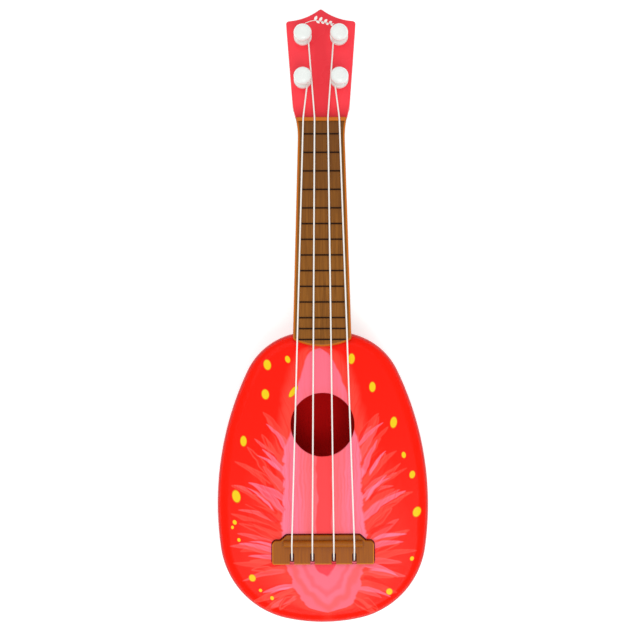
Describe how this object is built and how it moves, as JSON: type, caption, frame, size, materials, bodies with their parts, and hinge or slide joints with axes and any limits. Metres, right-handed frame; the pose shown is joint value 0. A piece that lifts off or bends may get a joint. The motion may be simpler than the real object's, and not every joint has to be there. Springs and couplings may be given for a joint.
{
  "type": "toy guitar",
  "caption": "Child's small acoustic toy guitar of moulded plastic with an egg-shaped fruit-patterned body, a sound hole, nylon strings and turning tuning pegs.",
  "frame": {"origin": "middle of the bounding box at the level of the table that the guitar's flat back rests on", "axes": "+Z out of the soundboard, +Y along the neck towards the head, +X to the right seen from the front"},
  "size_m": [0.1228, 0.359, 0.0433],
  "materials": {
    "printed_front": "glossy red moulding with a printed pink and red fruit pattern and yellow seeds",
    "red_plastic": "glossy red moulding",
    "head_red": "glossy red moulding",
    "brown_plastic": "satin wood-coloured moulding with faint grain",
    "neck_plastic": "satin wood-coloured moulding",
    "fret_plastic": "dark brown bars",
    "white_plastic": "glossy white moulding",
    "washer_plastic": "off-white nylon",
    "nylon": "white nylon line",
    "steel": "zinc-plated steel"
  },
  "bodies": {
    "guitar": {"body_front_shell": "printed_front", "body_back_shell": "red_plastic", "body_screws": "steel", "bridge": "brown_plastic", "bridge_screws": "steel", "fingerboard": "brown_plastic", "frets": "fret_plastic", "neck_back": "neck_plastic", "neck_screws": "steel", "neck_joint_screws": "steel", "headstock_cover": "head_red", "headstock_screws": "steel", "string_1": "nylon", "string_2": "nylon", "string_3": "nylon", "string_4": "nylon"},
    "tuner_1": {"tuner_peg_1": "white_plastic", "tuner_knob_1": "white_plastic", "tuner_washer_1": "washer_plastic", "tuner_screw_1": "steel", "string_winding_1": "nylon"},
    "tuner_2": {"tuner_peg_2": "white_plastic", "tuner_knob_2": "white_plastic", "tuner_washer_2": "washer_plastic", "tuner_screw_2": "steel", "string_winding_2": "nylon"},
    "tuner_3": {"tuner_peg_3": "white_plastic", "tuner_knob_3": "white_plastic", "tuner_washer_3": "washer_plastic", "tuner_screw_3": "steel", "string_winding_3": "nylon"},
    "tuner_4": {"tuner_peg_4": "white_plastic", "tuner_knob_4": "white_plastic", "tuner_washer_4": "washer_plastic", "tuner_screw_4": "steel", "string_winding_4": "nylon"}
  },
  "joints": [
    {"name": "tuner_1_turn", "type": "hinge", "parent": "guitar", "child": "tuner_1", "pos_m": [-0.0106, 0.13612, 0.03259], "axis": [0, 0.2419, 0.9703], "continuous": true},
    {"name": "tuner_2_turn", "type": "hinge", "parent": "guitar", "child": "tuner_2", "pos_m": [-0.0106, 0.16222, 0.02608], "axis": [0, 0.2419, 0.9703], "continuous": true},
    {"name": "tuner_3_turn", "type": "hinge", "parent": "guitar", "child": "tuner_3", "pos_m": [0.0106, 0.16222, 0.02608], "axis": [0, 0.2419, 0.9703], "continuous": true},
    {"name": "tuner_4_turn", "type": "hinge", "parent": "guitar", "child": "tuner_4", "pos_m": [0.0106, 0.13612, 0.03259], "axis": [0, 0.2419, 0.9703], "continuous": true}
  ]
}
